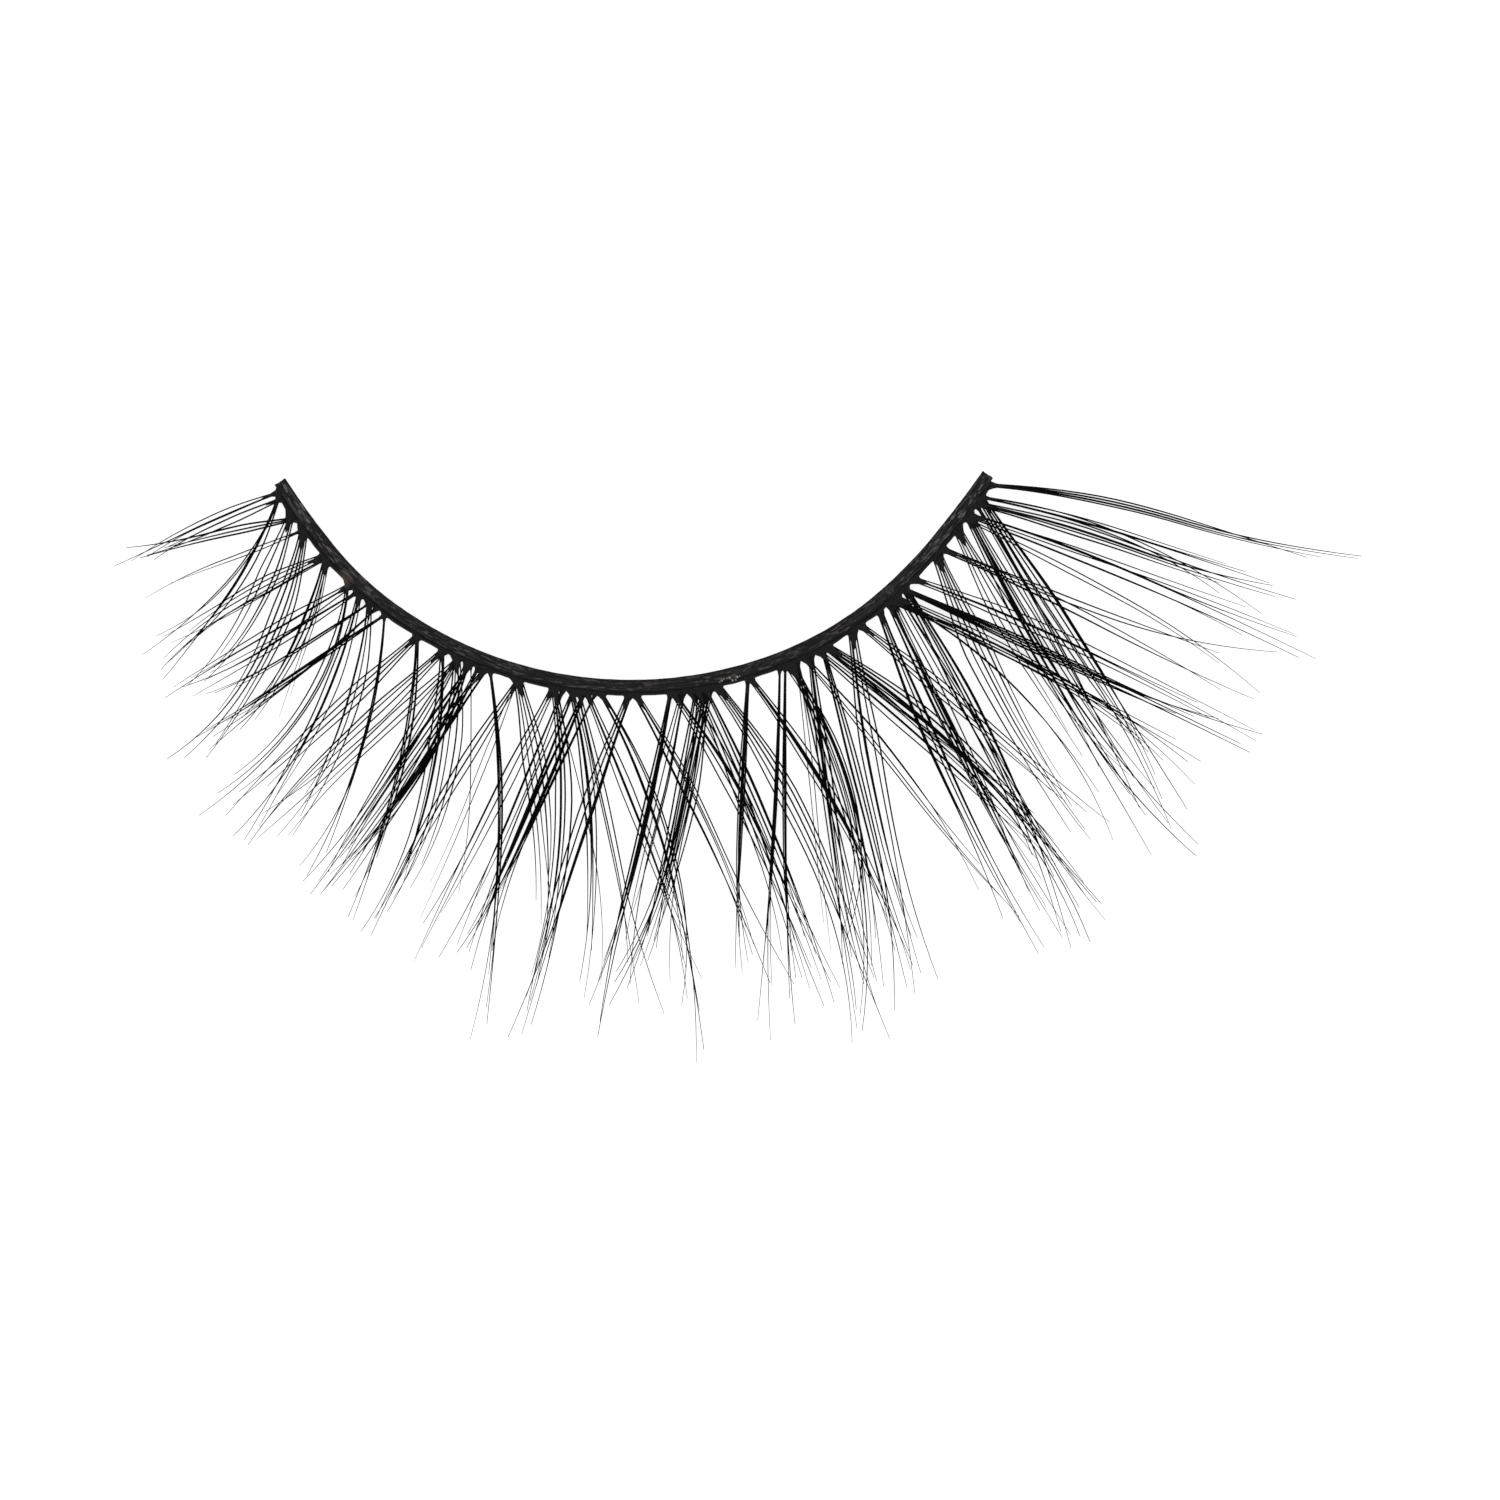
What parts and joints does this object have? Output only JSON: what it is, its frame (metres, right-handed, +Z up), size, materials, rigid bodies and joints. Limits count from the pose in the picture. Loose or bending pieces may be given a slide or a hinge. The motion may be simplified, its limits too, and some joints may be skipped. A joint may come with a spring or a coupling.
{
  "type": "false eyelash strip",
  "caption": "Curved false eyelash strip: a thin cotton band with crossed layers of tapered, upturned lash locks, longer toward the outer corner.",
  "frame": {"origin": "middle of the strip's footprint, on the surface that it lies on", "axes": "+X from the inner (short) corner to the outer (long) corner, -Y the way the fringe spreads from the middle of the band, +Z up, the way the tips curl"},
  "size_m": [0.0476, 0.0218, 0.0049],
  "materials": {
    "band_cotton": "black cotton strip stiffened with dried glue, slightly rough",
    "lash_fibre": "black synthetic lash fibre with a soft sheen"
  },
  "bodies": {
    "root": {"band": "band_cotton", "fringe_inward": "lash_fibre", "fringe_outward": "lash_fibre"}
  },
  "joints": []
}
